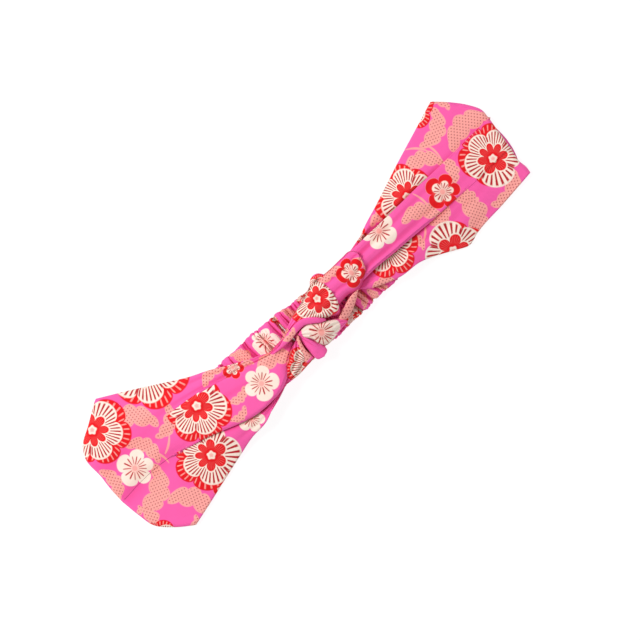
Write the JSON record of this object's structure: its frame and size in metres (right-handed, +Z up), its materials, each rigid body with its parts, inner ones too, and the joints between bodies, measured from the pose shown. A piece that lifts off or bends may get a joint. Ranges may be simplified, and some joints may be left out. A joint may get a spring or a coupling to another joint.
{
  "type": "sports headband",
  "caption": "Wide printed cotton headband with a knotted front and a ruched elastic casing at the back, laid flat.",
  "frame": {"origin": "centre of the bounding box in plan, on the floor that the flat-laid headband rests on", "axes": "+X along the long axis towards the narrower fan, +Y across the band, +Z up from the floor through the knot"},
  "size_m": [0.24, 0.073, 0.0253],
  "materials": {
    "printed_cotton": "matte",
    "elastic": "matte",
    "thread": "satin"
  },
  "bodies": {
    "elastic_middle": {"elastic_band": "elastic"},
    "right_casing_end": {"right_casing": "printed_cotton", "right_back_panel": "printed_cotton", "right_join_stitch_near": "thread", "right_join_stitch_far": "thread", "right_elastic_tack": "thread", "right_casing_seam": "thread"},
    "left_casing_end": {"left_casing": "printed_cotton", "left_back_panel": "printed_cotton", "left_join_stitch_near": "thread", "left_join_stitch_far": "thread", "left_elastic_tack": "thread", "left_casing_seam": "thread"},
    "right_fold": {"right_front_panel": "printed_cotton", "right_fold_edge": "printed_cotton", "right_panel_seam": "thread"},
    "left_fold": {"left_front_panel": "printed_cotton", "left_fold_edge": "printed_cotton", "left_panel_seam": "thread"},
    "right_strand": {"right_knot_loop": "printed_cotton"},
    "left_strand": {"left_knot_loop": "printed_cotton"}
  },
  "joints": [
    {"name": "right_casing_stretch", "type": "slide", "parent": "elastic_middle", "child": "right_casing_end", "axis": [1, 0, 0], "range_m": [0, 0.03], "stiffness_N_per_m": 60},
    {"name": "left_casing_stretch", "type": "slide", "parent": "elastic_middle", "child": "left_casing_end", "axis": [-1, 0, 0], "range_m": [0, 0.03]},
    {"name": "right_fold_roll", "type": "slide", "parent": "right_casing_end", "child": "right_fold", "axis": [-1, 0, 0], "range_m": [0, 0.015]},
    {"name": "left_fold_roll", "type": "slide", "parent": "left_casing_end", "child": "left_fold", "axis": [1, 0, 0], "range_m": [0, 0.015]},
    {"name": "right_strand_draw", "type": "slide", "parent": "right_fold", "child": "right_strand", "axis": [-1, 0, 0], "range_m": [0, 0.015]},
    {"name": "left_strand_draw", "type": "slide", "parent": "left_fold", "child": "left_strand", "axis": [1, 0, 0], "range_m": [0, 0.015]}
  ],
  "couplings": [
    {"joint": "left_casing_stretch", "follows": "right_casing_stretch", "ratio": 1},
    {"joint": "right_fold_roll", "follows": "right_casing_stretch", "ratio": 0.5},
    {"joint": "left_fold_roll", "follows": "right_casing_stretch", "ratio": 0.5},
    {"joint": "right_strand_draw", "follows": "right_casing_stretch", "ratio": 0.5},
    {"joint": "left_strand_draw", "follows": "right_casing_stretch", "ratio": 0.5}
  ]
}
